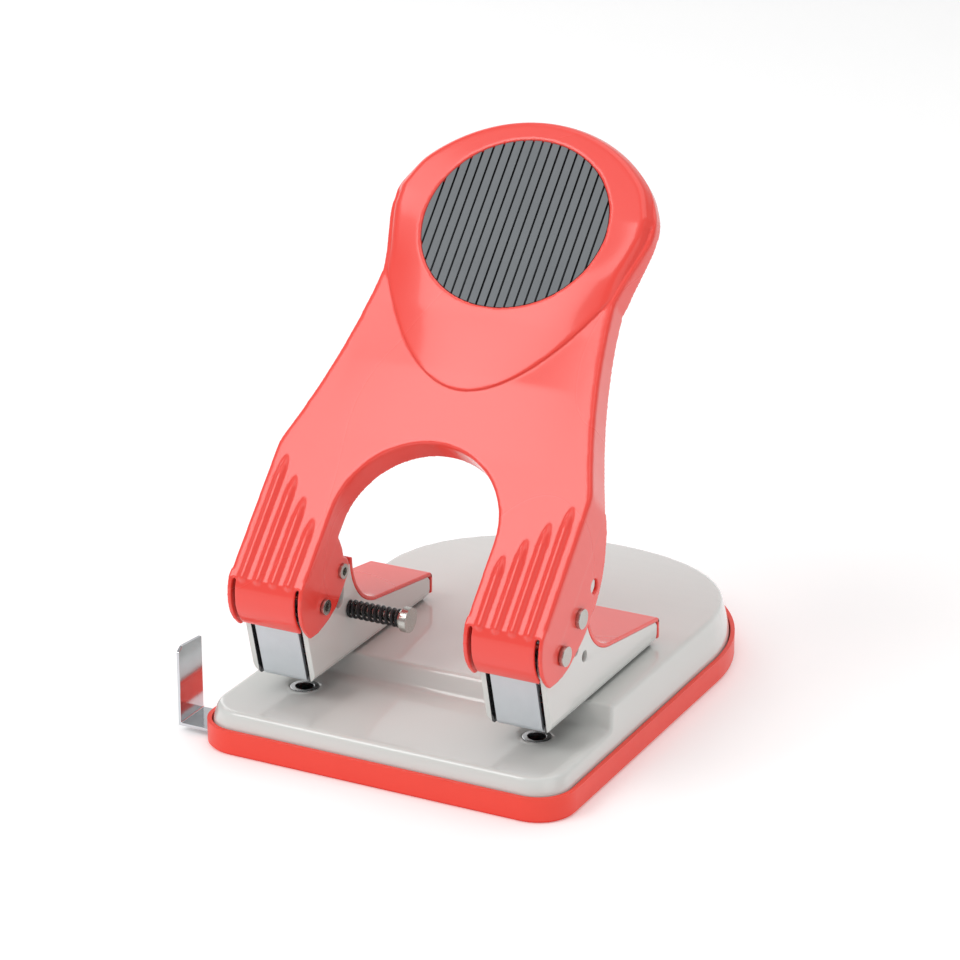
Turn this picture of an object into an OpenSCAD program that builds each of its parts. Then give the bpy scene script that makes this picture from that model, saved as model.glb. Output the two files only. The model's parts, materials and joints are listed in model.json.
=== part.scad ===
// Two-hole heavy-duty desk punch. Millimetres, +X right, +Y back, +Z up.
// The origin is on the underside, midway between the two punch axes.

/* [Punching] */
// Distance between the two punch axes
hole_spacing = 80; // [79:0.5:82]
// Diameter of the punched hole's cutter
cutter_d = 5.6; // [5.4:0.1:5.8]
// How far the punches travel at full press
punch_stroke = 10.9; // [10:0.1:10.9]
// Distance from the punch axes back to the paper stop
paper_margin = 12; // [11.6:0.1:13]

/* [Base] */
// Half width of the red tray that the base sits in
tray_half_w = 62; // [61:0.5:63]
// Front edge of the tray
tray_front_y = -31; // [-32:0.5:-30.5]
// Centre of the tray's round rear end
tray_rear_y = 86; // [85:0.5:87]
// Height of the tray's rim
tray_h = 8; // [7.4:0.1:8.4]
// Height of the paper table
table_z = 13.2; // [13:0.1:13.4]
// Height of the raised deck that the brackets stand on
deck_z = 19.8; // [19.6:0.1:20]

/* [Handle] */
// Angle of the handle's face above the horizontal
face_angle = 46.5; // [46:0.1:47]
// Length of the face from the knee to its tip
face_len = 164.5; // [163:0.5:166]
// Half width over the two legs
leg_half_w = 52.9; // [52.9:0.1:53.2]
// Half width at the neck
neck_half_w = 39.5; // [38:0.5:41]
// Height of the raised head around the grip
head_rise = 3; // [2.6:0.1:3.2]
// Thickness of the handle's sheet
sheet = 1.4; // [1.3:0.05:1.5]

/* [Brackets] */
// Thickness of the bracket's sheet
bracket_sheet = 1.8; // [1.6:0.1:1.8]
// Half width over a bracket's side plates
bracket_half_w = 10.8; // [10.6:0.1:10.8]
// Rear end of the brackets
bracket_rear_y = 62.4; // [61:0.2:63]

/* [Hidden] */
$fn = 48;

head_x = hole_spacing / 2;
running = 0.05;
eps = 0.01;

// Pivot and drive pins, as [y, z] in the side view
pin_r = 2;
pivot = [-9.6, 45.3];
drive_radius = 13.65;
drive_angle = 33.4;
drive = pivot + drive_radius * [cos(drive_angle), sin(drive_angle)];
press_angle = 48;
pin_head_r = 3.05;
pin_head_h = 1.3;
swage_r = 2.4;
swage_h = 0.9;

// Handle legs about each head's own centre
flange_out = leg_half_w - head_x;
flange_in = flange_out - sheet;
ear_inset = 0.05;
apron_half_w = 10.3;
apron_r = 14;
apron_centre = pivot + [0, 4.3];
knee = [-22.4, 55.4];
arch_r = head_x - flange_out;
arch_s = 26.5;
neck_s = 107.6;
crown_s = face_len - 50.8;
crown_r = face_len - crown_s;
pad_s = 127.9;
pad_half = [30.4, 28.7];
pad_thick = 1.5;
pad_top = head_rise - 0.3;

// Base plate
plate_t = 1.5;
plate_gap = 0.3;
tray_wall = 1.4;
tray_floor = 1.3;
skirt_half_w = tray_half_w - tray_wall - plate_gap;
top_inset = 2.9;
skirt_front_y = tray_front_y + tray_wall + plate_gap;
front_corner_r = 11;
skirt_top_z = 8;
skirt_low_z = tray_floor + 0.5;
riser_run = 3.5;
deck_flat_end = 80;
deck_end = tray_rear_y + tray_half_w;
deck_drop = 5.3;

// Dies and punches
die_r = 4.5;
die_flange_r = 7;
die_low_z = 9.2;
dish_depth = 0.5;
cutter_r = cutter_d / 2;
punch_low_z = 20.6;
shank_r = 5.6;
shank_low_z = 46.4;
shank_top_z = drive[1] + 5.2;
collar_t = 0.9;
guide_web_z = deck_z + bracket_sheet;
guide_web_t = 3;
guide_boss_top = 33;
guide_boss_r = 4;
spring_low_z = guide_web_z + guide_web_t + 0.05;
spring_high_z = shank_low_z - collar_t - 0.05;

// Lock
lock_radius = 21.2;
lock_angle = -22.8;
lock_at = pivot + lock_radius * [cos(lock_angle), sin(lock_angle)];
lock_hole_at = pivot + lock_radius * [cos(lock_angle + press_angle), sin(lock_angle + press_angle)];
lock_r = 1.7;
lock_tip_x = -head_x - bracket_half_w - 0.3;
lock_head_x = -10.2;
lock_spring_r = 2.95;
jig_hole_at = pivot + [21.5, 14];

// Bracket side view
nose_r = 9.2;
bracket_foot_y = -11.6;
saddle_centre = [30.5, 53.5];
saddle_r = 20.2;
saddle_slope = 8.8;
saddle_end = saddle_centre + saddle_r * [-sin(saddle_slope), -cos(saddle_slope)];
cover_t = 1.4;
cover_low_z = 22.2;
panel_half_w = 7.6;
panel_bend_r = 2.2;
panel_bend_at = [-9.73, 22];
panel_foot_y = -8.2;
guide_half_w = 6.7;
channel_bend_r = 4;
cover_bend_r = 2.2;
panel_t = 1.4;
rivet_ys = [28, 52];
rivet_r = 2;
rivet_head_r = 3.6;

// Paper guide
guide_y = [-22.8, -9.4];
guide_z = [2.0, 3.0];
guide_in_x = -4;
guide_out_x = -72;
guide_top_z = 28;
guide_gap = 0.35;
keeper_x = [-51, -8];
keeper_t = 0.9;
rail_w = 4;
rail_z = guide_z[1] + 0.3;
screw_xs = [-46, -14];

// ---- Shared shapes ----

// Extrudes a [y, z] outline along X from x0 to x1
module side_slab(x0, x1) {
  translate([x0, 0, 0]) rotate([90, 0, 90]) linear_extrude(x1 - x0) children();
}

// Places children in the face's frame: x across, s up the face, n out of it
module on_face() {
  translate([0, knee[0], knee[1]]) rotate([face_angle, 0, 0]) children();
}

// A cylinder along X through a [y, z] point
module rod(at, r, x0, x1) {
  translate([x0, at[0], at[1]]) rotate([0, 90, 0]) cylinder(r = r, h = x1 - x0);
}

module at_head(side) {
  translate([side * head_x, 0, 0]) children();
}

// Points along an arc about centre, from one angle to another
function arc(centre, r, from, to, steps) = [
  for (k = [0 : steps]) let (a = from + k * (to - from) / steps) centre + r * [cos(a), sin(a)]
];

// D-shaped plan: straight sides, two front corners, a round rear
module d_plan(half_w, front_y, corner_r) {
  translate([0, tray_rear_y]) circle(half_w, $fn = 96);
  translate([-half_w, front_y + corner_r]) square([2 * half_w, tray_rear_y - front_y - corner_r]);
  translate([corner_r - half_w, front_y]) square([2 * (half_w - corner_r), corner_r + 1]);
  for (side = [-1, 1])
    translate([side * (half_w - corner_r), front_y + corner_r]) circle(corner_r);
}

// Closed coil of round wire about +Z, with its two ends laid flat
function coil_z(t, length, wire_r) = wire_r + (length - 2 * wire_r) * t;
function coil_ring(angle, z, mean_r, wire_r, sides) = [
  for (k = [0 : sides - 1])
    let (a = 360 * k / sides, r = mean_r + wire_r * cos(a))
      [r * cos(angle), r * sin(angle), z + wire_r * sin(a)]
];
module coil(mean_r, wire_r, length, turns, sides = 8, steps = 14) {
  rings = round(turns * steps);
  points = [
    for (i = [0 : rings])
      each coil_ring(360 * i / steps, coil_z(i / rings, length, wire_r), mean_r, wire_r, sides)
  ];
  walls = [
    for (i = [0 : rings - 1], k = [0 : sides - 1])
      let (a = i * sides + k, b = i * sides + (k + 1) % sides)
        [a, a + sides, b + sides, b]
  ];
  first_cap = [for (k = [0 : sides - 1]) k];
  last_cap = [for (k = [sides - 1 : -1 : 0]) rings * sides + k];
  polyhedron(points, concat(walls, [first_cap], [last_cap]), convexity = 10);
}

// ---- Base ----

function deck_curve_z(y) = deck_z - deck_drop * pow((y - deck_flat_end) / (deck_end - deck_flat_end), 2);

// Top outline of the base in the side view, moved down and back by t
module base_profile(t) {
  steps = 10;
  curve = [
    for (k = [0 : steps])
      let (y = deck_flat_end + k * (deck_end - deck_flat_end) / steps) [y, deck_curve_z(y) - t]
  ];
  polygon(concat(
    [[tray_front_y - 5, 0], [tray_front_y - 5, table_z - t], [paper_margin + t, table_z - t],
     [paper_margin + riser_run + t, deck_z - t]],
    curve,
    [[deck_end + 5, deck_curve_z(deck_end) - t], [deck_end + 5, 0]]
  ));
}

module base_body(t) {
  intersection() {
    hull() {
      translate([0, 0, skirt_low_z - (t > 0 ? 1 : 0)])
        linear_extrude(skirt_top_z - skirt_low_z)
          d_plan(skirt_half_w - t, skirt_front_y + t, front_corner_r - t);
      translate([0, 0, deck_z - 0.2])
        linear_extrude(0.2)
          d_plan(skirt_half_w - top_inset - t, skirt_front_y + top_inset + t, front_corner_r - t);
    }
    side_slab(-tray_half_w, tray_half_w) base_profile(t);
  }
}

module base_plate() {
  color([0.86, 0.87, 0.85]) difference() {
    base_body(0);
    base_body(plate_t);
    for (side = [-1, 1]) at_head(side) {
      translate([0, 0, die_low_z]) cylinder(r = die_r, h = 10);
      translate([0, 0, table_z - dish_depth]) cylinder(r1 = 5, r2 = 6.8, h = dish_depth + eps);
      for (y = rivet_ys)
        translate([0, y, deck_z - 5]) cylinder(r = rivet_r + running, h = 10);
    }
    translate([-tray_half_w, guide_y[0] - 1, 0])
      cube([10, guide_y[1] - guide_y[0] + 2, rail_z + 1.4]);
  }
}

module die() {
  difference() {
    union() {
      translate([0, 0, die_low_z]) cylinder(r = die_r, h = table_z - dish_depth - die_low_z);
      translate([0, 0, die_low_z]) cylinder(r = die_flange_r, h = table_z - plate_t - die_low_z);
    }
    translate([0, 0, die_low_z - 1]) cylinder(r = cutter_r + running, h = 10);
  }
}

module left_die() { color([0.6, 0.61, 0.62]) at_head(-1) die(); }
module right_die() { color([0.6, 0.61, 0.62]) at_head(1) die(); }

// ---- Brackets ----

// Side view of a bracket's plates
module bracket_side() {
  fall = (bracket_rear_y - saddle_end[0]) * tan(saddle_slope);
  polygon(concat(
    [[bracket_foot_y, deck_z]],
    arc(pivot, nose_r, 220, 141, 12),
    arc(drive, 5, 105, 20, 8),
    arc(saddle_centre, saddle_r, 186, 270 - saddle_slope, 16),
    [[bracket_rear_y - 1.2, saddle_end[1] - fall + 1.2 * tan(saddle_slope)],
     [bracket_rear_y, saddle_end[1] - fall - 1.2], [bracket_rear_y, deck_z]]
  ));
}

// Slot that the drive pin sweeps through a bracket's plates, about the pivot
module drive_slot() {
  slot_w = pin_r + 0.3;
  translate(pivot) {
    intersection() {
      difference() {
        circle(drive_radius + slot_w, $fn = 96);
        circle(drive_radius - slot_w, $fn = 96);
      }
      polygon([
        [0, 0],
        for (a = [drive_angle, drive_angle - press_angle / 2, drive_angle - press_angle])
          30 * [cos(a), sin(a)]
      ]);
    }
    for (a = [drive_angle, drive_angle - press_angle])
      translate(drive_radius * [cos(a), sin(a)]) circle(slot_w);
  }
}

// U channel seen along Y, with rounded bends under its plates
module bracket_channel() {
  bend_x = bracket_half_w - channel_bend_r;
  bend_z = deck_z + channel_bend_r;
  inner_r = channel_bend_r - bracket_sheet;
  rotate([90, 0, 0]) translate([0, 0, -bracket_rear_y]) linear_extrude(bracket_rear_y + 30) polygon(concat(
    [[-bracket_half_w, 80]],
    arc([-bend_x, bend_z], channel_bend_r, 180, 270, 6),
    arc([bend_x, bend_z], channel_bend_r, 270, 360, 6),
    [[bracket_half_w, 80], [bracket_half_w - bracket_sheet, 80]],
    arc([bend_x, bend_z], inner_r, 360, 270, 5),
    arc([-bend_x, bend_z], inner_r, 270, 180, 5),
    [[bracket_sheet - bracket_half_w, 80]]
  ));
}

module bracket() {
  difference() {
    intersection() {
      bracket_channel();
      side_slab(-bracket_half_w - 1, bracket_half_w + 1) bracket_side();
    }
    side_slab(-bracket_half_w - 1, bracket_half_w + 1) drive_slot();
    rod(pivot, pin_r + running, -20, 20);
    rod(lock_at, lock_r + running, -20, 20);
    translate([0, 0, deck_z - 1]) cylinder(r = cutter_r + 0.5, h = 4);
    for (y = rivet_ys) translate([0, y, deck_z - 1]) cylinder(r = rivet_r + running, h = 5);
    // Room in the web for the front panel's foot
    translate([-panel_half_w - 0.7, -30, deck_z - 1])
      cube([2 * panel_half_w + 1.4, 30 + panel_foot_y + 0.4, 4]);
  }
}

module left_bracket() { color([0.88, 0.9, 0.9]) at_head(-1) bracket(); }
module right_bracket() { color([0.88, 0.9, 0.9]) at_head(1) bracket(); }

module bracket_rivets() {
  color([0.75, 0.76, 0.78]) for (side = [-1, 1], y = rivet_ys) at_head(side) translate([0, y, 0]) {
    translate([0, 0, deck_z - plate_t - 1.2]) cylinder(r = rivet_head_r, h = 1.2);
    translate([0, 0, deck_z - plate_t - eps]) cylinder(r = rivet_r, h = plate_t + bracket_sheet + 2 * eps);
    translate([0, 0, guide_web_z]) cylinder(r1 = rivet_head_r, r2 = rivet_head_r - 1, h = 1.4);
  }
}

// Sheet cover that lies on the plates' top edges and folds down at the rear
module cover_side() {
  turn = 90 - saddle_slope;
  bend_y = bracket_rear_y + 0.2 + cover_t - cover_bend_r;
  inner_r = cover_bend_r - cover_t;
  along = (bend_y - saddle_end[0] + inner_r * sin(saddle_slope)) / cos(saddle_slope);
  bend = saddle_end + along * [cos(saddle_slope), -sin(saddle_slope)]
    - inner_r * [sin(saddle_slope), cos(saddle_slope)];
  polygon(concat(
    arc(saddle_centre, saddle_r, 180, 180 + turn, 16),
    arc(bend, inner_r, turn, 0, 5),
    [[bend_y + inner_r, cover_low_z], [bend_y + cover_bend_r, cover_low_z]],
    arc(bend, cover_bend_r, 0, turn, 6),
    arc(saddle_centre, saddle_r - cover_t, 180 + turn, 180, 16)
  ));
}

module bracket_cover() {
  side_slab(-bracket_half_w - 0.2, bracket_half_w + 0.2) cover_side();
}

module left_cover() { color([0.95, 0.33, 0.3]) at_head(-1) bracket_cover(); }
module right_cover() { color([0.95, 0.33, 0.3]) at_head(1) bracket_cover(); }

// Front panel that wraps the bracket's nose, with the punch's long bearing behind it
module panel_side() {
  polygon(concat(
    [[panel_foot_y, deck_z]],
    arc(panel_bend_at, panel_bend_r, 270, 195, 5),
    arc(pivot, nose_r, 218, 150, 12),
    arc(pivot, nose_r - panel_t, 150, 218, 12),
    arc(panel_bend_at, panel_bend_r - panel_t, 195, 270, 5),
    [[panel_foot_y, deck_z + panel_t]]
  ));
}

module punch_guide() {
  difference() {
    union() {
      side_slab(-panel_half_w, panel_half_w) panel_side();
      translate([-guide_half_w, bracket_foot_y + 0.6, guide_web_z])
        cube([2 * guide_half_w, 8 - bracket_foot_y, guide_web_t]);
      translate([0, 0, guide_web_z]) cylinder(r = guide_boss_r, h = guide_boss_top - guide_web_z);
    }
    translate([0, 0, deck_z]) cylinder(r = cutter_r + running, h = 20);
  }
}

module left_punch_guide() { color([0.76, 0.79, 0.81]) at_head(-1) punch_guide(); }
module right_punch_guide() { color([0.76, 0.79, 0.81]) at_head(1) punch_guide(); }

// ---- Pins ----

// A rivet along X with a solid outer head and a swaged, hollow inner end
module rivet_pin(at, head_gap) {
  reach = flange_out + head_gap;
  difference() {
    union() {
      rod(at, pin_r, -reach - eps, reach + eps);
      rod(at, pin_head_r, reach, reach + pin_head_h);
      rod(at, swage_r, -reach - swage_h, -reach);
    }
    rod(at, 1.3, -reach - swage_h - 1, -reach + 2);
  }
}

module pivot_pin() { rivet_pin(pivot, 0.25); }
module drive_pin() { rivet_pin(drive, 0); }

module left_pivot_pin() { color([0.72, 0.72, 0.7]) at_head(-1) mirror([1, 0, 0]) pivot_pin(); }
module right_pivot_pin() { color([0.72, 0.72, 0.7]) at_head(1) pivot_pin(); }
module left_drive_pin() { color([0.72, 0.72, 0.7]) at_head(-1) mirror([1, 0, 0]) drive_pin(); }
module right_drive_pin() { color([0.72, 0.72, 0.7]) at_head(1) drive_pin(); }

module pivot_washers() {
  color([0.7, 0.7, 0.7]) for (head = [-1, 1], side = [-1, 1]) at_head(head) difference() {
    low = side > 0 ? bracket_half_w : -bracket_half_w - 0.4;
    rod(pivot, 4.5, low, low + 0.4);
    rod(pivot, pin_r + running, low - 1, low + 2);
  }
}

// ---- Handle ----

flare_len = neck_s - 46;
flare_k = (leg_half_w - neck_half_w - 0.0755 * flare_len) / pow(flare_len, 2);
function leg_flare(s) = let (d = neck_s - s) neck_half_w + 0.0755 * d + flare_k * d * d;

module handle_outline() {
  flare = [for (s = [46 : 8.8 : neck_s]) [leg_flare(s), s]];
  head = [
    [neck_half_w, neck_s], [neck_half_w + 1.3, 114.5], [neck_half_w + 3.3, 121.8],
    [neck_half_w + 5.3, 129.3], [neck_half_w + 6.1, 136]
  ];
  right = concat([[leg_half_w, -40], [leg_half_w, 40]], flare, head);
  left = [for (i = [len(right) - 1 : -1 : 0]) [-right[i][0], right[i][1]]];
  difference() {
    offset(r = 10, $fn = 96) offset(delta = -10) intersection() {
      union() {
        polygon(concat(right, left));
        translate([0, crown_s]) intersection() {
          circle(crown_r, $fn = 120);
          translate([-47, 20]) square([94, 60]);
        }
      }
      union() {
        translate([0, crown_s]) circle(crown_r, $fn = 120);
        translate([-60, -40]) square([120, crown_s + 30]);
      }
    }
    translate([0, arch_s]) circle(arch_r, $fn = 96);
    translate([-arch_r, -60]) square([2 * arch_r, 60 + arch_s]);
  }
}

// Lower boundary of the side flanges, in the face's [s, n] plane
module flange_depth() {
  polygon([[0, 0], [0, -12.5], [22, -13], [48, -13.5], [62, -12.3], [75, -11], [95, -9.5], [112, -9],
           [122, -6.5], [130, -4.8], [face_len + 1, -4.5], [face_len + 1, 0]]);
}

module pad_plan(grow) {
  polygon([for (k = [0 : 71]) [(pad_half[0] + grow) * cos(5 * k), pad_s + (pad_half[1] + grow) * sin(5 * k)]]);
}

// Raised head: a parabola from its tip that opens to the full width, and to the edge round the crown
module head_plan(inset) {
  tip_s = 71.5 + inset;
  wide_s = 134 + inset;
  intersection() {
    union() {
      offset(delta = -1.6 - inset) handle_outline();
      intersection() {
        offset(delta = -0.3 - inset) handle_outline();
        translate([-60, wide_s]) square([120, 60]);
      }
    }
    polygon(concat(
      [for (w = [-42 : 3 : 42]) [w, tip_s + w * w / (39 - inset)]],
      [[60, face_len + 5], [-60, face_len + 5]]
    ));
  }
}

module face_panel() {
  difference() {
    union() {
      translate([0, 0, -sheet]) linear_extrude(sheet) intersection() {
        handle_outline();
        translate([-60, 0]) square([120, face_len + 5]);
      }
      linear_extrude(head_rise) head_plan(0);
    }
    translate([0, 0, -sheet - 1]) linear_extrude(sheet + 1) head_plan(sheet);
    translate([0, 0, -eps]) linear_extrude(head_rise - sheet) difference() {
      head_plan(sheet);
      pad_plan(sheet);
    }
    translate([0, 0, pad_top - pad_thick]) linear_extrude(5) pad_plan(0.1);
  }
  // The pressed floor under the pad
  translate([0, 0, pad_top - pad_thick - sheet]) linear_extrude(sheet) pad_plan(sheet + 0.3);
}

module rim_walls() {
  intersection() {
    translate([0, 0, -30]) linear_extrude(30) difference() {
      handle_outline();
      offset(delta = -sheet) handle_outline();
    }
    difference() {
      translate([-60, 0, 0]) rotate([90, 0, 90]) linear_extrude(120) flange_depth();
      translate([-34, -1, -40]) cube([68, 60, 30]);
    }
  }
}

// Point in the side view, s up the face and drop below its outer surface
function under_face(s, drop = 0.7) =
  knee + s * [cos(face_angle), sin(face_angle)] + drop * [sin(face_angle), -cos(face_angle)];

// Outer ear, from the tip round under the pivot and up the leg's rear edge
module outer_ear() {
  polygon(concat(
    [for (a = [156 : 8 : 228]) apron_centre + apron_r * [cos(a), sin(a)]],
    [pivot + [-8, -7.3], pivot + [-4, -7.4], pivot + [0, -7.2], pivot + [4.8, -5.8], pivot + [10, -2.9],
     pivot + [14.2, -0.5], pivot + [17, 1.8], pivot + [18.6, 4.4], pivot + [22.4, 6.8], pivot + [25.2, 10.6],
     pivot + [27.2, 14.2], pivot + [29, 19.6], pivot + [30.1, 28], pivot + [29.4, 34],
     under_face(44), under_face(0.2)]
  ));
}

// Inner ear, cut closer behind the drive pin so that it passes the lock's spring
module inner_ear() {
  polygon(concat(
    [for (a = [156 : 8 : 228]) apron_centre + apron_r * [cos(a), sin(a)]],
    [pivot + [-8, -7.5], pivot + [-3, -7.3], pivot + [3.2, -5.4], pivot + [7.6, -3.2], pivot + [9.8, -1]],
    [for (a = [-50 : 25 : 75]) drive + 4.6 * [cos(a), sin(a)]],
    [pivot + [12.2, 14.4], pivot + [10.4, 18.2],
     under_face(22, 10), under_face(24), under_face(0.2)]
  ));
}

// Curved apron below the knee, concentric with the head's nose
module apron() {
  side_slab(-apron_half_w, apron_half_w) translate(apron_centre) intersection() {
    difference() {
      circle(apron_r, $fn = 96);
      circle(apron_r - sheet, $fn = 96);
    }
    polygon([[0, 0], for (a = [153, 190, 227]) 20 * [cos(a), sin(a)]]);
  }
}

module leg_ribs() {
  rib_r = 1.5;
  rib_n = -0.45;
  for (side = [-1, 1], k = [0 : 3]) {
    top = 22.5 + 6.2 * k;
    translate([side * (head_x - 8 + 5.35 * k), 0.5, rib_n]) rotate([-90, 0, 0]) rotate_extrude($fn = 24)
      polygon(concat(
        [[0, -rib_r]], arc([0, 0], rib_r, -70, -10, 3),
        [[rib_r, top - 7], [0.8 * rib_r, top - 3.5], [0.35 * rib_r, top], [0, top + 0.3]]
      ));
  }
}

module handle() {
  color([0.96, 0.36, 0.32]) difference() {
    union() {
      on_face() {
        face_panel();
        rim_walls();
        leg_ribs();
      }
      for (side = [-1, 1]) at_head(side) {
        apron();
        mirror([side < 0 ? 1 : 0, 0, 0]) {
          side_slab(flange_in + ear_inset, flange_out - ear_inset) outer_ear();
          side_slab(-flange_out + ear_inset, -flange_in - ear_inset) inner_ear();
        }
      }
    }
    for (side = [-1, 1]) {
      rod(pivot, pin_r + running, side * head_x - 20, side * head_x + 20);
      rod(drive, pin_r + running, side * head_x - 20, side * head_x + 20);
      rod(jig_hole_at, 2.3, side * leg_half_w - 4, side * leg_half_w + 4);
    }
    rod(lock_hole_at, lock_r + 0.3, -leg_half_w - 4, -leg_half_w + 4);
  }
}

module grip_pad() {
  groove_pitch = 3.1;
  groove_w = 0.7;
  color([0.36, 0.38, 0.41]) on_face() difference() {
    translate([0, 0, pad_top - pad_thick]) linear_extrude(pad_thick) pad_plan(0);
    for (k = [-9 : 9])
      translate([k * groove_pitch - groove_w / 2, pad_s - 40, pad_top - 0.8]) cube([groove_w, 80, 2]);
  }
}

// ---- Punches ----

module punch() {
  slot_h = 2 * pin_r + 0.7;
  slot_back = 2.6;
  difference() {
    union() {
      translate([0, 0, punch_low_z]) cylinder(r = cutter_r, h = shank_low_z - punch_low_z + 1);
      translate([0, 0, shank_low_z]) cylinder(r = shank_r, h = shank_top_z - shank_low_z);
    }
    // Hollow-ground cutting end: two points and a curved middle
    translate([-10, 0, punch_low_z - 4.4]) rotate([0, 90, 0]) cylinder(r = 5.2, h = 20);
    // Cross slot for the drive pin, longer to the rear where the pin swings
    translate([-10, drive[0] - pin_r - 0.3, drive[1] - slot_h / 2])
      cube([20, 2 * pin_r + 0.3 + slot_back, slot_h]);
  }
}

module left_punch() { color([0.7, 0.71, 0.73]) at_head(-1) punch(); }
module right_punch() { color([0.7, 0.71, 0.73]) at_head(1) punch(); }

module spring_collar() {
  translate([0, 0, shank_low_z - collar_t]) difference() {
    cylinder(r = shank_r + 0.3, h = collar_t);
    translate([0, 0, -1]) cylinder(r = cutter_r + running, h = 4);
  }
}

module left_spring_collar() { color([0.6, 0.6, 0.62]) at_head(-1) spring_collar(); }
module right_spring_collar() { color([0.6, 0.6, 0.62]) at_head(1) spring_collar(); }

module punch_spring() {
  translate([0, 0, spring_low_z]) coil(4.95, 0.55, spring_high_z - spring_low_z, 6.5);
}

module left_punch_spring() { color([0.45, 0.46, 0.48]) at_head(-1) punch_spring(); }
module right_punch_spring() { color([0.45, 0.46, 0.48]) at_head(1) punch_spring(); }

// ---- Lock ----

module lock_pin() {
  color([0.62, 0.6, 0.58]) {
    rod(lock_at, lock_r, lock_tip_x, lock_head_x + eps);
    rod(lock_at, 3.0, lock_head_x - 1, lock_head_x + eps);
    rod(lock_at, 3.95, lock_head_x, lock_head_x + 2.2);
  }
}

module lock_clip() {
  clip_x = -head_x + bracket_half_w - bracket_sheet - 1;
  color([0.3, 0.3, 0.32]) difference() {
    rod(lock_at, 3, clip_x, clip_x + 0.8);
    rod(lock_at, lock_r, clip_x - 1, clip_x + 2);
  }
}

module lock_spring() {
  low_x = -head_x + bracket_half_w + 0.05;
  high_x = lock_head_x - 1.05;
  color([0.1, 0.1, 0.1]) translate([low_x, lock_at[0], lock_at[1]]) rotate([0, 90, 0])
    coil(lock_spring_r - 0.5, 0.5, high_x - low_x, 10);
}

// ---- Tray and paper guide ----

module chip_tray() {
  color([0.95, 0.3, 0.25]) {
    difference() {
      union() {
        translate([0, 0, 0.8]) linear_extrude(tray_h - 0.8) d_plan(tray_half_w, tray_front_y, 12.5);
        linear_extrude(1) d_plan(tray_half_w - 0.8, tray_front_y + 0.8, 11.7);
      }
      translate([0, 0, tray_floor])
        linear_extrude(20) d_plan(tray_half_w - tray_wall, tray_front_y + tray_wall, 11.1);
      translate([-tray_half_w - 1, guide_y[0] - guide_gap, guide_z[0] - guide_gap])
        cube([10, guide_y[1] - guide_y[0] + 2 * guide_gap, guide_z[1] - guide_z[0] + 2 * guide_gap]);
    }
    for (y = [guide_y[0] - guide_gap - rail_w, guide_y[1] + guide_gap]) difference() {
      translate([keeper_x[0], y, tray_floor - eps])
        cube([keeper_x[1] - keeper_x[0], rail_w, rail_z - tray_floor + eps]);
      for (x = screw_xs) translate([x, y + rail_w / 2, tray_floor + 0.2]) cylinder(r = 1.2, h = 10);
    }
  }
}

module guide_keeper() {
  low_y = guide_y[0] - guide_gap - rail_w;
  color([0.7, 0.71, 0.72]) difference() {
    translate([keeper_x[0], low_y, rail_z])
      cube([keeper_x[1] - keeper_x[0], guide_y[1] - guide_y[0] + 2 * (guide_gap + rail_w), keeper_t]);
    for (x = screw_xs, y = [low_y + rail_w / 2, guide_y[1] + guide_gap + rail_w / 2])
      translate([x, y, rail_z - 1]) cylinder(r = 1.3, h = 4);
  }
}

module guide_screws() {
  low_y = guide_y[0] - guide_gap - rail_w;
  color([0.65, 0.65, 0.66]) for (x = screw_xs, y = [low_y + rail_w / 2, guide_y[1] + guide_gap + rail_w / 2])
    translate([x, y, 0]) {
      translate([0, 0, tray_floor + 0.4]) cylinder(r = 1.15, h = rail_z + keeper_t - tray_floor);
      translate([0, 0, rail_z + keeper_t]) difference() {
        cylinder(r = 2.2, h = 1.1);
        translate([-3, -0.3, 0.5]) cube([6, 0.6, 2]);
      }
    }
}

// Bright strip that slides under the keeper, turned up outside as the paper's side stop
module paper_guide() {
  color([0.8, 0.82, 0.84]) {
    translate([guide_out_x, guide_y[0], guide_z[0]])
      cube([guide_in_x - guide_out_x, guide_y[1] - guide_y[0], guide_z[1] - guide_z[0]]);
    side_slab(guide_out_x, guide_out_x + guide_z[1] - guide_z[0]) polygon([
      [guide_y[0], guide_z[0]], [guide_y[0], guide_top_z - 1.6], [guide_y[0] + 2.2, guide_top_z],
      [guide_y[1], guide_top_z - 1], [guide_y[1], guide_z[0]]
    ]);
  }
}

base_plate();
left_die();
right_die();
left_bracket();
right_bracket();
bracket_rivets();
left_cover();
right_cover();
left_punch_guide();
right_punch_guide();
left_pivot_pin();
right_pivot_pin();
pivot_washers();
handle();
grip_pad();
left_drive_pin();
right_drive_pin();
left_punch();
right_punch();
left_spring_collar();
right_spring_collar();
left_punch_spring();
right_punch_spring();
lock_pin();
lock_clip();
lock_spring();
chip_tray();
guide_keeper();
guide_screws();
paper_guide();
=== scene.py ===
import json
import math

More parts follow.
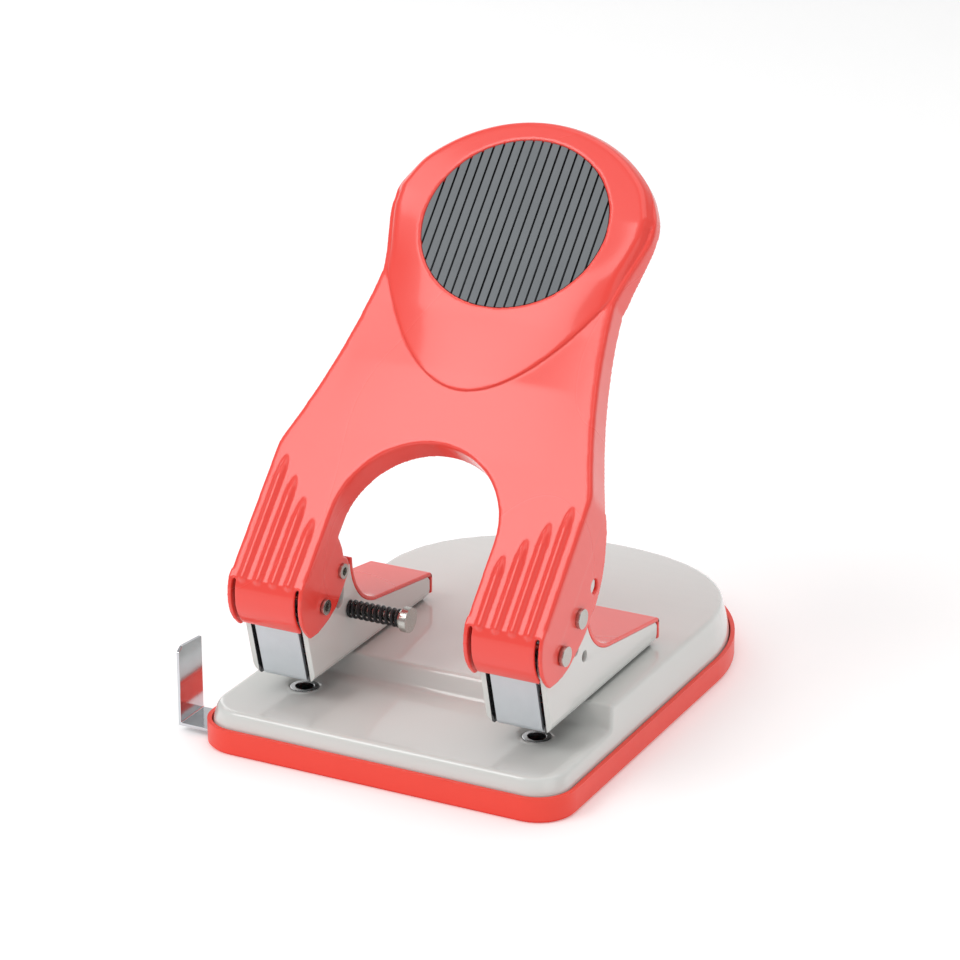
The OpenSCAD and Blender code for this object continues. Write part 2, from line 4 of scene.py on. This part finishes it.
import bmesh
import bpy
import numpy as np
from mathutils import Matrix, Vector


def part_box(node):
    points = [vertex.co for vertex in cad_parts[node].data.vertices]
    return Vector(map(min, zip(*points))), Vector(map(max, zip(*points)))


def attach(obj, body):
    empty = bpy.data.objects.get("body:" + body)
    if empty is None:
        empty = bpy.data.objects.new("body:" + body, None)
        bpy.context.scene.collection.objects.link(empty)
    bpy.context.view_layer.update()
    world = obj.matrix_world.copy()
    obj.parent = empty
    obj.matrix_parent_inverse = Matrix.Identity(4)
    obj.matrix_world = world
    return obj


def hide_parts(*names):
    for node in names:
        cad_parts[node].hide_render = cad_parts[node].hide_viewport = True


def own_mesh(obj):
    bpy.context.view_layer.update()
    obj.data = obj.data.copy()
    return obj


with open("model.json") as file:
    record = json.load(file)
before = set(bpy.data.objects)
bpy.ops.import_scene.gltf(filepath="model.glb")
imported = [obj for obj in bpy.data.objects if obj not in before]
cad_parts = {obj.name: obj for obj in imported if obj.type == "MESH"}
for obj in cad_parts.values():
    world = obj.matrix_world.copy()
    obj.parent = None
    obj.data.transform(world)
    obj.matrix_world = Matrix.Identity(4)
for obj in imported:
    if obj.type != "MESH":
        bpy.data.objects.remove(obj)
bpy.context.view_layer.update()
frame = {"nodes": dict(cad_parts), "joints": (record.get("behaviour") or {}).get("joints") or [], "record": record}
MM = 0.001

# ---- What the frame gives ----
NODES = frame["nodes"]
JOINTS = {joint["name"]: joint for joint in frame["joints"]}
SLOT_OF = {part["node"]: part["material_slot"] for part in frame["record"]["subparts"]}


def span(node):
    """Low and high corners of a node's box."""
    low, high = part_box(node)
    return np.array(low, float), np.array(high, float)


def node_middle(node):
    """Middle of a node's box in the side view, as (y, z)."""
    low, high = span(node)
    return ((low + high) / 2)[1:]


def middle_x(node):
    low, high = span(node)
    return float(low[0] + high[0]) / 2


HEAD_X = middle_x("right_punch")
PIVOT = np.array(JOINTS["handle_pivot"]["pos_m"], float)[1:]


# ---- Camera ----
AZ, EL = math.radians(27.11), math.radians(21.09)
AIM = Vector((20.84, 0.0, 91.5)) * MM
DIST = 1045.9 * MM


def make_camera():
    data = bpy.data.cameras.new("camera")
    data.lens = 133.5
    data.sensor_width = 36.0
    data.clip_start, data.clip_end = 0.05, 20.0
    cam = bpy.data.objects.new("camera", data)
    out = Vector((math.sin(AZ) * math.cos(EL), -math.cos(AZ) * math.cos(EL), math.sin(EL)))
    cam.location = AIM + out * DIST
    turn = (-out).to_track_quat("-Z", "Y")
    cam.rotation_mode = "QUATERNION"
    cam.rotation_quaternion = turn
    bpy.context.scene.collection.objects.link(cam)
    bpy.context.scene.camera = cam


make_camera()

# ---- Materials ----


def tree(name):
    """A new material with its node tree and its shader."""
    mat = bpy.data.materials.new(name)
    mat.use_nodes = True
    nt = mat.node_tree
    return mat, nt, nt.nodes["Principled BSDF"]


def put(nt, kind, **settings):
    node = nt.nodes.new(kind)
    for key, value in settings.items():
        setattr(node, key, value)
    return node


def coords(nt, scale=(1, 1, 1)):
    where = put(nt, "ShaderNodeTexCoord")
    mapping = put(nt, "ShaderNodeMapping")
    mapping.inputs["Scale"].default_value = scale
    nt.links.new(where.outputs["Object"], mapping.inputs["Vector"])
    return mapping.outputs["Vector"]


def noise(nt, vector, scale, detail=3.0, rough=0.55):
    node = put(nt, "ShaderNodeTexNoise")
    node.inputs["Scale"].default_value = scale
    node.inputs["Detail"].default_value = detail
    node.inputs["Roughness"].default_value = rough
    nt.links.new(vector, node.inputs["Vector"])
    return node.outputs["Fac"]


def ramp(nt, fac, stops):
    """A colour between two stops, each a (position, colour)."""
    node = put(nt, "ShaderNodeValToRGB")
    for element, (position, colour) in zip(node.color_ramp.elements, stops):
        element.position = position
        element.color = (*colour, 1)
    nt.links.new(fac, node.inputs["Fac"])
    return node.outputs["Color"]


def remap(nt, fac, low, high):
    node = put(nt, "ShaderNodeMapRange")
    node.inputs["To Min"].default_value = low
    node.inputs["To Max"].default_value = high
    nt.links.new(fac, node.inputs["Value"])
    return node.outputs["Result"]


def bump(nt, height, strength, distance):
    node = put(nt, "ShaderNodeBump")
    node.inputs["Strength"].default_value = strength
    node.inputs["Distance"].default_value = distance
    nt.links.new(height, node.inputs["Height"])
    return node.outputs["Normal"]


def paint(name, light, dark, rough, coat, peel):
    """Sprayed enamel: a slow drift in tone and gloss, and a very fine orange peel under a clear coat."""
    mat, nt, bsdf = tree(name)
    vec = coords(nt)
    col = ramp(nt, noise(nt, vec, 7.0, 0.0), [(0.20, dark), (0.80, light)])
    nt.links.new(col, bsdf.inputs["Base Color"])
    nt.links.new(remap(nt, noise(nt, vec, 16.0, 0.0), rough[0], rough[1]), bsdf.inputs["Roughness"])
    nt.links.new(bump(nt, noise(nt, vec, 420.0, 0.0), peel, 0.00004), bsdf.inputs["Normal"])
    bsdf.inputs["Coat Weight"].default_value = coat
    bsdf.inputs["Coat Roughness"].default_value = 0.08
    return mat


def metal(name, light, dark, rough, grain=(1, 1, 1), grain_scale=900.0, depth=0.02, metallic=1.0):
    """Rolled, turned or plated metal: fine lines along the grain and a slow cloudiness."""
    mat, nt, bsdf = tree(name)
    vec = coords(nt, grain)
    fine = noise(nt, vec, grain_scale, 3.0)
    cloud = noise(nt, coords(nt), 90.0, 4.0)
    nt.links.new(ramp(nt, cloud, [(0.3, dark), (0.7, light)]), bsdf.inputs["Base Color"])
    nt.links.new(remap(nt, fine, rough[0], rough[1]), bsdf.inputs["Roughness"])
    nt.links.new(bump(nt, fine, depth, 0.0001), bsdf.inputs["Normal"])
    bsdf.inputs["Metallic"].default_value = metallic
    return mat


def plastic(name, light, dark, rough, depth=0.08, scale=1500.0):
    """Moulded plastic or rubber: a fine texture from the mould."""
    mat, nt, bsdf = tree(name)
    vec = coords(nt)
    tone = ramp(nt, noise(nt, vec, 40.0, 4.0), [(0.3, dark), (0.7, light)])
    nt.links.new(tone, bsdf.inputs["Base Color"])
    nt.links.new(remap(nt, noise(nt, vec, 260.0, 3.0), rough[0], rough[1]), bsdf.inputs["Roughness"])
    nt.links.new(bump(nt, noise(nt, vec, scale, 2.0), depth, 0.0001), bsdf.inputs["Normal"])
    return mat


CORAL = paint("coral_enamel", (0.92, 0.064, 0.046), (0.89, 0.056, 0.040),
              rough=(0.25, 0.30), coat=0.45, peel=0.012)
PEARL = paint("pearl_enamel", (0.705, 0.715, 0.690), (0.680, 0.690, 0.666),
              rough=(0.19, 0.24), coat=0.8, peel=0.012)
RED_PLASTIC = plastic("red_shell", (0.93, 0.055, 0.030), (0.90, 0.050, 0.027),
                      rough=(0.34, 0.42), depth=0.04)
ZINC = metal("zinc_skin", (0.62, 0.66, 0.69), (0.57, 0.61, 0.64), rough=(0.30, 0.40),
             grain=(1, 1, 0.15), grain_scale=2600.0, metallic=0.6)
STEEL = metal("steel_skin", (0.66, 0.67, 0.68), (0.58, 0.59, 0.60), rough=(0.16, 0.30),
              grain=(0.15, 0.15, 1), grain_scale=3000.0)
NICKEL = metal("nickel_skin", (0.56, 0.55, 0.52), (0.46, 0.45, 0.42), rough=(0.22, 0.30),
               grain_scale=3600.0, depth=0.015)
CHROME = metal("chrome_skin", (0.66, 0.67, 0.70), (0.58, 0.59, 0.62), rough=(0.07, 0.14),
               grain=(0.1, 1, 1), grain_scale=2600.0, depth=0.015)
BLACK = metal("black_skin", (0.030, 0.030, 0.033), (0.020, 0.020, 0.022), rough=(0.22, 0.34), metallic=0.5)
PAD = plastic("pad_rubber", (0.150, 0.163, 0.174), (0.130, 0.142, 0.153), rough=(0.40, 0.52), scale=2600.0)
# Near-black painted shade for the recesses of the pad's grooves, on the same rubber
GROOVE_SHADE = plastic("pad_groove_shade", (0.012, 0.013, 0.015), (0.008, 0.009, 0.011), rough=(0.6, 0.7), depth=0.05)
MATS = {
    "coral_red_paint": CORAL, "pearl_grey_paint": PEARL, "red_plastic": RED_PLASTIC, "zinc_plate": ZINC,
    "bright_steel": STEEL, "nickel": NICKEL, "chrome_strip": CHROME, "black_spring": BLACK, "grey_pad": PAD,
}


def solve(nt, operation, value, other=0.0):
    """One step of shader arithmetic."""
    node = put(nt, "ShaderNodeMath", operation=operation)
    nt.links.new(value, node.inputs[0])
    node.inputs[1].default_value = other
    return node.outputs[0]


def painted_shade_inside(paint_mat, name, half_gap):
    """The same paint, with a near-black painted shade between a bracket's two side plates, where its inside lies
    in shadow.
    """
    mat = paint_mat.copy()
    mat.name = name
    nt = mat.node_tree
    bsdf = nt.nodes["Principled BSDF"]
    where = put(nt, "ShaderNodeTexCoord")
    split = put(nt, "ShaderNodeSeparateXYZ")
    nt.links.new(where.outputs["Object"], split.inputs["Vector"])
    from_head = solve(nt, "SUBTRACT", solve(nt, "ABSOLUTE", split.outputs["X"]), HEAD_X)
    inside = solve(nt, "LESS_THAN", solve(nt, "ABSOLUTE", from_head), half_gap)
    mix = put(nt, "ShaderNodeMix", data_type="RGBA")
    painted, painted_shade = [socket for socket in mix.inputs if socket.type == "RGBA"]
    mixed = [socket for socket in mix.outputs if socket.type == "RGBA"][0]
    nt.links.new(inside, mix.inputs["Factor"])
    nt.links.new(bsdf.inputs["Base Color"].links[0].from_socket, painted)
    # Near-black painted shade for the faces between the side plates
    painted_shade.default_value = (0.035, 0.035, 0.038, 1)
    nt.links.new(mixed, bsdf.inputs["Base Color"])
    return mat


# ---- Finish on the CAD nodes ----


WELD_REACH = 0.005 * MM
# How far into a bracket's side plates its outer paint reaches; further in, the colour is a painted shade
LIT_PAINT_DEPTH = 1.75 * MM
# Edge rounding, in mm, of each CAD node that is shown as it is
BEVELS = {
    "left_die": 0.2, "right_die": 0.2, "left_bracket": 0.35, "right_bracket": 0.35,
    "bracket_rivets": 0.3, "left_cover": 0.4, "right_cover": 0.4,
    "left_punch_guide": 0.3, "right_punch_guide": 0.3,
    "left_pivot_pin": 0.4, "right_pivot_pin": 0.4, "pivot_washers": 0.1,
    "left_drive_pin": 0.4, "right_drive_pin": 0.4, "left_punch": 0.3, "right_punch": 0.3,
    "left_spring_collar": 0.1, "right_spring_collar": 0.1, "lock_pin": 0.4, "lock_clip": 0.1,
    "chip_tray": 0.8, "guide_keeper": 0.2, "guide_screws": 0.2, "paper_guide": 0.2,
}


def dress(obj, *materials):
    obj.data.materials.clear()
    for mat in materials:
        obj.data.materials.append(mat)


def add_weld(obj):
    """Joins the corners that neighbouring faces share."""
    weld = obj.modifiers.new("weld", "WELD")
    weld.merge_threshold = WELD_REACH


def add_bevel(obj, width, segments, angle):
    """Rounds the edges that turn more than the angle, in degrees."""
    bevel = obj.modifiers.new("bevel", "BEVEL")
    bevel.width = width
    bevel.segments = segments
    bevel.limit_method = "ANGLE"
    bevel.angle_limit = math.radians(angle)


def finish_nodes():
    for node, width in BEVELS.items():
        obj = NODES[node]
        dress(obj, MATS[SLOT_OF[node]])
        add_weld(obj)
        add_bevel(obj, width * MM, segments=2, angle=32)
        normals = obj.modifiers.new("normals", "WEIGHTED_NORMAL")
        normals.keep_sharp = True


def dress_brackets():
    low, high = span("right_bracket")
    # The brackets' enamel, with painted shade between their side plates
    bracket_enamel_shaded_inside = painted_shade_inside(PEARL, "bracket_enamel_shaded_inside", float(high[0] - low[0]) / 2 - LIT_PAINT_DEPTH)
    for node in ("left_bracket", "right_bracket"):
        dress(NODES[node], bracket_enamel_shaded_inside)


finish_nodes()
dress_brackets()

# ---- Pressed pieces: the CAD mesh remeshed fine, with its folds rounded as a press leaves them ----


def copy_of(node, name):
    """A free copy of a node's mesh, as the start of the piece that replaces it."""
    mesh = NODES[node].data.copy()
    obj = bpy.data.objects.new(name, mesh)
    bpy.context.scene.collection.objects.link(obj)
    return obj


def apply_modifiers(obj):
    deps = bpy.context.evaluated_depsgraph_get()
    mesh = bpy.data.meshes.new_from_object(obj.evaluated_get(deps))
    obj.modifiers.clear()
    obj.data = mesh
    return obj


def voxel_copy(node, name, voxel):
    """A copy of a node's mesh, remeshed with even small faces."""
    obj = copy_of(node, name)
    add_weld(obj)
    remesh = obj.modifiers.new("remesh", "REMESH")
    remesh.mode = "VOXEL"
    remesh.voxel_size = voxel
    remesh.use_smooth_shade = True
    bpy.context.view_layer.update()
    return apply_modifiers(obj)


def verts_of(obj):
    mesh = obj.data
    co = np.empty(len(mesh.vertices) * 3)
    mesh.vertices.foreach_get("co", co)
    return co.reshape(-1, 3)


def edges_of(obj):
    mesh = obj.data
    ends = np.empty(len(mesh.edges) * 2, dtype=np.int64)
    mesh.edges.foreach_get("vertices", ends)
    return ends.reshape(-1, 2)


def fade(value, start, end):
    """0 at start, 1 at end, and a straight line between."""
    return np.clip((value - start) / (end - start), 0, 1)


def relax(co, edges, weight, rounds):
    """Moves each vertex towards the middle of its neighbours, by its weight."""
    a, b = edges[:, 0], edges[:, 1]
    count = np.bincount(a, minlength=len(co)) + np.bincount(b, minlength=len(co))
    count = np.maximum(count, 1)[:, None]
    for _ in range(rounds):
        total = np.zeros_like(co)
        for k in range(3):
            total[:, k] = np.bincount(a, co[b, k], len(co)) + np.bincount(b, co[a, k], len(co))
        co = co + weight[:, None] * (total / count - co)
    return co


def write_verts(obj, co):
    obj.data.vertices.foreach_set("co", co.astype(np.float32).ravel())
    obj.data.update()
    for poly in obj.data.polygons:
        poly.use_smooth = True


def clear_of_holes(co, centres, radius, axis):
    """0 inside the given radius of any centre's line along the axis, 1 a little beyond it."""
    keep = np.ones(len(co))
    across, up = [i for i in range(3) if i != axis]
    for centre in centres:
        distance = np.hypot(co[:, across] - centre[0], co[:, up] - centre[1])
        keep = np.minimum(keep, fade(distance, radius, radius + 0.6 * MM))
    return keep


# ---- Places on the handle, in mm: x across it, s up its face from the knee, n out of the face ----
FACE_ANGLE = math.radians(46.5)
KNEE = (-22.4, 55.4)
CREASE_TIP = 71.5
CREASE_SPREAD = 39
CREASE_STEP = 0.27
DOME_POWER = 1.3
BAND_S = (112, 134)
PAD_S = 127.9
SLOT_HALF = (31.2, 29.5)
SLOT_R = 30.5
GROOVED_HALF = (29.9, 28.2)
GROOVE_DROP = 0.32
CROWN_S = 113.7
CROWN_R = 50.5
RIM_ROUND = 1.8
RIM_INSET = 1.2
RIM_INSET_S = (146, 134)
CORNER_S = 137
CORNER_SPREAD = 7
CORNER_X = (34, 42)
CORNER_EASE = 1.1
BULGE = 0.9
BULGE_HALF = 40
BULGE_RISE_S = (52, 77)
BULGE_FALL_S = (96, 76)
RIB_TOP_S = 44
RIB_HALF = 10.8
# Half width of the neck and head at a few places up the face
OUTLINE_S = [87, 107.6, 114.5, 121.8, 129.3, 136]
OUTLINE_X = [42, 39.5, 40.8, 42.8, 44.8, 45.6]
OUTLINE_MARGIN = 0.4
HEAD_FROM_S = 70
# Rounding of the long folds, the part of it kept at the crease and at the slot's edge, and that of the ribs
FOLD_SOFT = 0.5
CREASE_PART = 0.3
SLOT_PART = 0.15
RIB_SOFT = 0.02


def face_mm(co):
    """(x, s, n) of each point."""
    y, z = co[:, 1] / MM - KNEE[0], co[:, 2] / MM - KNEE[1]
    cosine, sine = math.cos(FACE_ANGLE), math.sin(FACE_ANGLE)
    return co[:, 0] / MM, y * cosine + z * sine, -y * sine + z * cosine


def above_crease(x, s):
    """Distance above the raised head's lower crease, a parabola."""
    slope = 2 * x / CREASE_SPREAD
    return (s - CREASE_TIP - x * x / CREASE_SPREAD) / np.sqrt(1 + slope ** 2)


def slot_share(x, s):
    """Distance from the pad's middle, as a share of its slot's half size."""
    return np.hypot(x / SLOT_HALF[0], (s - PAD_S) / SLOT_HALF[1])


def head_height(x, s):
    """Share of the raised head's full height: a step and a dome from the crease up to the pad, a flat band
    beside and above the pad, and a rounded rim."""
    from_crease = np.maximum(above_crease(x, s), 0)
    from_pad = np.maximum((slot_share(x, s) - 1) * SLOT_R, 0)
    part = from_crease / (from_crease + from_pad + 1e-6)
    dome = CREASE_STEP + (1 - CREASE_STEP) * (1 - (1 - part) ** DOME_POWER)
    dome = dome + (1 - dome) * fade(s, *BAND_S)
    side = np.interp(s, OUTLINE_S, OUTLINE_X) - OUTLINE_MARGIN - np.abs(x)
    rim = np.minimum(CROWN_R - np.hypot(x, s - CROWN_S), side)
    rim = rim - RIM_INSET * fade(s, *RIM_INSET_S)
    return dome * (1 - (1 - fade(rim, 0, RIM_ROUND)) ** 2)


def shape_face(co, x, s, n):
    """Domes the raised head, bulges the face above the arch, and eases the head's upper corners."""
    lift = np.where((n > 0) & (s > HEAD_FROM_S), n * (head_height(x, s) - 1), 0.0)
    across = np.clip(1 - (x / BULGE_HALF) ** 2, 0, 1)
    lift = lift + BULGE * across * fade(s, *BULGE_RISE_S) * fade(s, *BULGE_FALL_S)
    near_corner = np.exp(-((s - CORNER_S) / CORNER_SPREAD) ** 2)
    ease = CORNER_EASE * near_corner * fade(np.abs(x), *CORNER_X)
    co[:, 0] -= np.sign(x) * ease * MM
    co[:, 1] -= lift * math.sin(FACE_ANGLE) * MM
    co[:, 2] += lift * math.cos(FACE_ANGLE) * MM
    return co


def fold_softness(x, s, n, rib):
    """How much each place is rounded: most on the long folds, less at the crease and the pad's slot."""
    soft = np.where((n > -3.5) & (s > 2.5), FOLD_SOFT, 0.0)
    soft = soft * np.where(np.abs(slot_share(x, s) - 1) < 0.05, SLOT_PART, 1.0)
    crease = (np.abs(above_crease(x, s)) < 1.8) & (np.abs(x) < 36) & (n > -0.5)
    soft = soft * np.where(crease, CREASE_PART, 1.0)
    return np.where(rib, RIB_SOFT, soft)


def make_handle():
    obj = voxel_copy("handle", "handle_sheet", voxel=0.4 * MM)
    co = verts_of(obj)
    edges = edges_of(obj)
    keep = clear_of_holes(co, [PIVOT, node_middle("right_drive_pin")], radius=3 * MM, axis=0)
    x, s, n = face_mm(co)
    rib = (s < RIB_TOP_S) & (np.abs(np.abs(x) - HEAD_X / MM) < RIB_HALF)
    co = relax(co, edges, np.where(rib, 0.12, 0.30) * keep, rounds=5)
    x, s, n = face_mm(co)
    co = shape_face(co, x, s, n)
    co = relax(co, edges, fold_softness(x, s, n, rib), rounds=18)
    write_verts(obj, co)
    dress(obj, CORAL)
    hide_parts("handle")
    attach(obj, "handle")


def make_pad():
    """The grip pad with softened ridges, and a near-black painted shade in its grooves."""
    obj = copy_of("grip_pad", "grip_rubber")
    add_weld(obj)
    add_bevel(obj, 0.25 * MM, segments=3, angle=40)
    bpy.context.view_layer.update()
    apply_modifiers(obj)
    dress(obj, PAD, GROOVE_SHADE)
    top = face_mm(verts_of(obj))[2].max()
    for poly in obj.data.polygons:
        x, s, n = face_mm(np.array([list(poly.center)]))
        grooved = math.hypot(x[0] / GROOVED_HALF[0], (s[0] - PAD_S) / GROOVED_HALF[1]) < 1
        # Faces below the ridge tops inside the grooved area take the painted shade
        poly.material_index = 1 if grooved and n[0] < top - GROOVE_DROP else 0
        poly.use_smooth = False
    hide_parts("grip_pad")
    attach(obj, "handle")


# The base's step up behind the table
STEP_Y = 13.8 * MM
STEP_HALF = 3.5 * MM


def make_base():
    """The base with rounded pressed edges, crisp die holes and a firm step behind the table."""
    obj = voxel_copy("base_plate", "base_shell", voxel=0.5 * MM)
    co = verts_of(obj)
    edges = edges_of(obj)
    low, high = span("right_die")
    die_x, die_y = (low[0] + high[0]) / 2, (low[1] + high[1]) / 2
    dies = [(die_x, die_y), (-die_x, die_y)]
    keep = clear_of_holes(co, dies, radius=5.2 * MM, axis=2)
    co = relax(co, edges, 0.4 * keep, rounds=5)
    skirt = fade(co[:, 2], start=4.5 * MM, end=7.5 * MM)
    far = np.minimum(keep, clear_of_holes(co, dies, radius=8.5 * MM, axis=2))
    riser = np.where(np.abs(co[:, 1] - STEP_Y) < STEP_HALF, 0.3, 1.0)
    co = relax(co, edges, 0.5 * skirt * far * riser, rounds=16)
    write_verts(obj, co)
    dress(obj, PEARL)
    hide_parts("base_plate")
    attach(obj, "base")


# ---- Springs ----
COIL_SIDES = 14
COIL_STEPS = 40
# Pitch of a coil's closed ends, as a share of the pitch along its middle
END_PITCH = 0.22


def coil_points(start, end, mean_r, wire_r, turns):
    """Rings of points round the wire of a coil, whose first and last turns are closed up and laid flat."""
    start, end = np.array(start, float), np.array(end, float)
    axis = end - start
    length = np.linalg.norm(axis)
    axis = axis / length
    side = np.cross(axis, [0.0, 1.0, 0.0])
    side = side / np.linalg.norm(side)
    up = np.cross(axis, side)
    rings = int(turns * COIL_STEPS)
    turn = np.arange(rings + 1) / rings * turns
    middle = np.clip(turn, 0, 1) + np.clip(turns - turn, 0, 1) - 1
    rate = END_PITCH + (1 - END_PITCH) * middle
    height = np.concatenate([[0], np.cumsum((rate[1:] + rate[:-1]) / 2)])
    height = wire_r + height / height[-1] * (length - 2 * wire_r)
    angle = 2 * math.pi * turn[:, None]
    ring = 2 * math.pi * np.arange(COIL_SIDES) / COIL_SIDES
    r = mean_r + wire_r * np.cos(ring)[None, :]
    h = height[:, None] + wire_r * np.sin(ring)[None, :]
    return (start + axis * h[..., None] + side * (r * np.cos(angle))[..., None]
            + up * (r * np.sin(angle))[..., None])


def coil_mesh(name, start, end, mean_r, wire_r, turns, material):
    points = coil_points(start, end, mean_r, wire_r, turns)
    rings = len(points) - 1
    faces = []
    for i in range(rings):
        for k in range(COIL_SIDES):
            a, b = i * COIL_SIDES + k, i * COIL_SIDES + (k + 1) % COIL_SIDES
            faces.append((a, b, b + COIL_SIDES, a + COIL_SIDES))
    faces.append(tuple(range(COIL_SIDES - 1, -1, -1)))
    faces.append(tuple(rings * COIL_SIDES + k for k in range(COIL_SIDES)))
    mesh = bpy.data.meshes.new(name)
    mesh.from_pydata(points.reshape(-1, 3).tolist(), [], faces)
    mesh.update()
    for poly in mesh.polygons:
        poly.use_smooth = len(poly.vertices) == 4
    mesh.materials.append(material)
    obj = bpy.data.objects.new(name, mesh)
    bpy.context.scene.collection.objects.link(obj)
    bm = bmesh.new()
    bm.from_mesh(mesh)
    bmesh.ops.recalc_face_normals(bm, faces=bm.faces)
    bm.to_mesh(mesh)
    bm.free()
    return obj


def make_punch_spring(side):
    low, high = span(side + "_punch_spring")
    x = (low[0] + high[0]) / 2
    coil = coil_mesh(side + "_return_spring", (x, 0.0, low[2]), (x, 0.0, high[2]),
                     mean_r=4.95 * MM, wire_r=0.55 * MM, turns=6.5, material=STEEL)
    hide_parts(side + "_punch_spring")
    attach(coil, "base")
    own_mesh(coil)


def make_lock_spring():
    low, high = span("lock_spring")
    y, z = node_middle("lock_pin")
    coil = coil_mesh("lock_return_spring", (low[0], y, z), (high[0], y, z),
                     mean_r=2.45 * MM, wire_r=0.5 * MM, turns=9.5, material=BLACK)
    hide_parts("lock_spring")
    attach(coil, "base")
    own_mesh(coil)


make_handle()
make_pad()
make_base()
for punch_side in ("left", "right"):
    make_punch_spring(punch_side)
make_lock_spring()

# ---- Studio ----


def make_floor():
    """A pale floor that curves up into a backdrop."""
    mesh = bpy.data.meshes.new("floor")
    size, back, radius, rise = 3.0, 1.6, 0.7, 2.2
    steps = 24
    line = [(-size, 0.0), (back, 0.0)]
    for k in range(1, steps + 1):
        turn = math.pi / 2 * k / steps
        line.append((back + radius * math.sin(turn), radius - radius * math.cos(turn)))
    line.append((back + radius, rise))
    verts = [(side * size, y, z) for y, z in line for side in (-1, 1)]
    faces = [(2 * i, 2 * i + 1, 2 * i + 3, 2 * i + 2) for i in range(len(line) - 1)]
    mesh.from_pydata(verts, [], faces)
    for poly in mesh.polygons:
        poly.use_smooth = True
    obj = bpy.data.objects.new("floor", mesh)
    bpy.context.scene.collection.objects.link(obj)
    mat, nt, bsdf = tree("floor_white")
    bsdf.inputs["Base Color"].default_value = (0.95, 0.95, 0.95, 1)
    bsdf.inputs["Emission Color"].default_value = (1, 1, 1, 1)
    bsdf.inputs["Emission Strength"].default_value = 0.16
    bsdf.inputs["Roughness"].default_value = 0.6
    bsdf.inputs["Specular IOR Level"].default_value = 0.2
    mesh.materials.append(mat)


def area(name, place, size, power):
    """A soft square light aimed at the middle of the punch."""
    data = bpy.data.lights.new(name, "AREA")
    data.energy = power
    data.shape = "RECTANGLE"
    data.size = size
    data.size_y = size
    obj = bpy.data.objects.new(name, data)
    obj.location = place
    obj.rotation_euler = (Vector(PUNCH_MIDDLE) - Vector(place)).to_track_quat("-Z", "Y").to_euler()
    bpy.context.scene.collection.objects.link(obj)


PUNCH_MIDDLE = (0.0, 0.03, 0.07)
make_floor()
area("key", (-0.55, -0.75, 1.05), size=0.75, power=6.7)
area("top", (0.10, 0.25, 1.35), size=1.3, power=5.8)
area("fill", (1.15, -0.55, 0.55), size=0.9, power=1.6)
area("back_left", (-1.1, 0.7, 0.7), size=0.8, power=2.5)

world = bpy.data.worlds.new("studio")
bpy.context.scene.world = world
world.use_nodes = True
world.node_tree.nodes["Background"].inputs["Color"].default_value = (1, 1, 1, 1)
world.node_tree.nodes["Background"].inputs["Strength"].default_value = 0.45
bpy.context.scene.view_settings.view_transform = "Standard"
